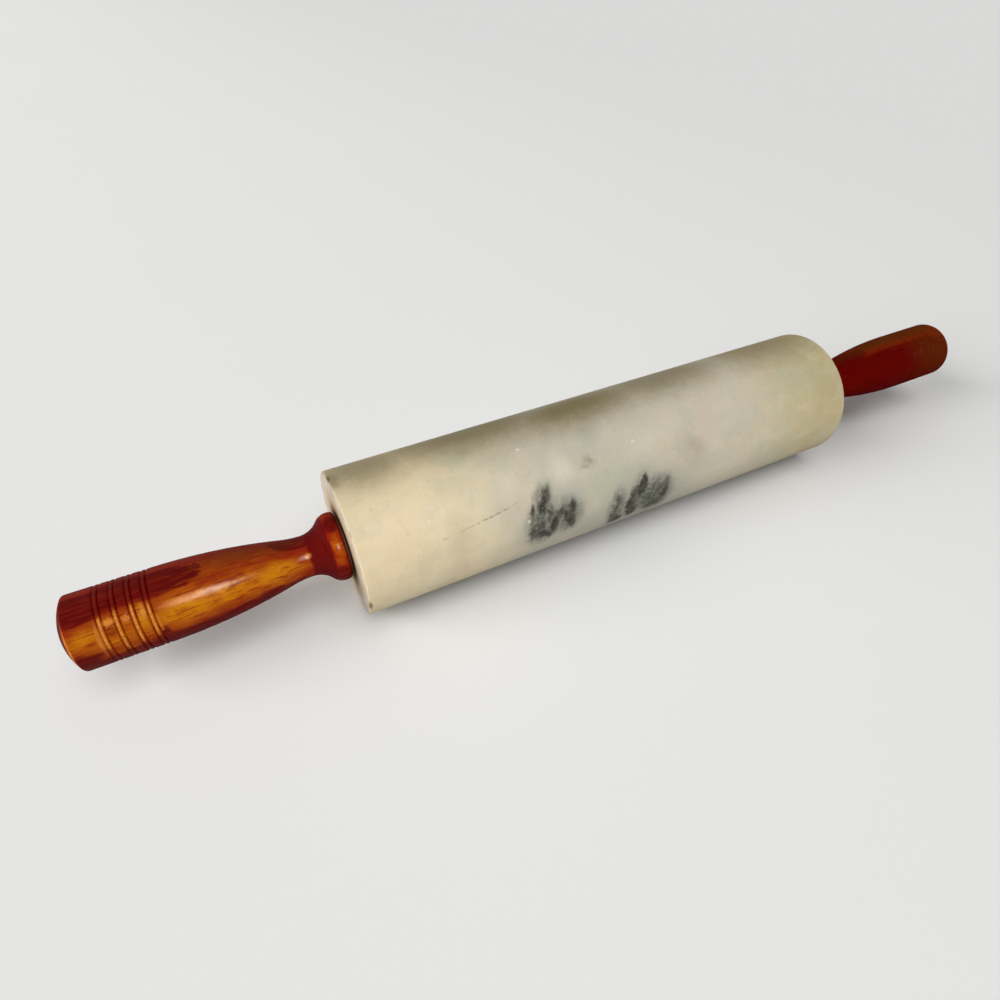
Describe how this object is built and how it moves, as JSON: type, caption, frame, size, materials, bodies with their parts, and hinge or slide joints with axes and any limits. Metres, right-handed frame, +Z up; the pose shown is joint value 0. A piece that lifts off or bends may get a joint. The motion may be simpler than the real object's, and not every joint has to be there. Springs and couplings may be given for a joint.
{
  "type": "marble rolling pin",
  "caption": "Rolling pin with a veined marble barrel that spins on a steel axle between two turned, stained wooden handles with ringed grips.",
  "frame": {"origin": "on the table surface, under the middle of the barrel", "axes": "+X along the pin's axis towards the right handle, +Z up, +Y away from the person rolling"},
  "size_m": [0.4682, 0.0634, 0.0635],
  "materials": {
    "marble": "honed, soft satin, cream and grey with charcoal veins",
    "stained_wood": "cherry stain under gloss varnish",
    "steel": "turned and zinc bright",
    "nylon": "natural nylon, matte",
    "brass": "machined"
  },
  "bodies": {
    "barrel": {"marble_barrel": "marble", "left_bushing": "nylon", "right_bushing": "nylon"},
    "handles": {"axle_rod": "steel", "left_thrust_washer": "steel", "right_thrust_washer": "steel", "left_threaded_insert": "brass", "right_threaded_insert": "brass", "left_handle": "stained_wood", "right_handle": "stained_wood"}
  },
  "joints": [
    {"name": "axle_spin", "type": "hinge", "parent": "barrel", "child": "handles", "pos_m": [0, 0, 0.03175], "axis": [1, 0, 0], "continuous": true}
  ]
}
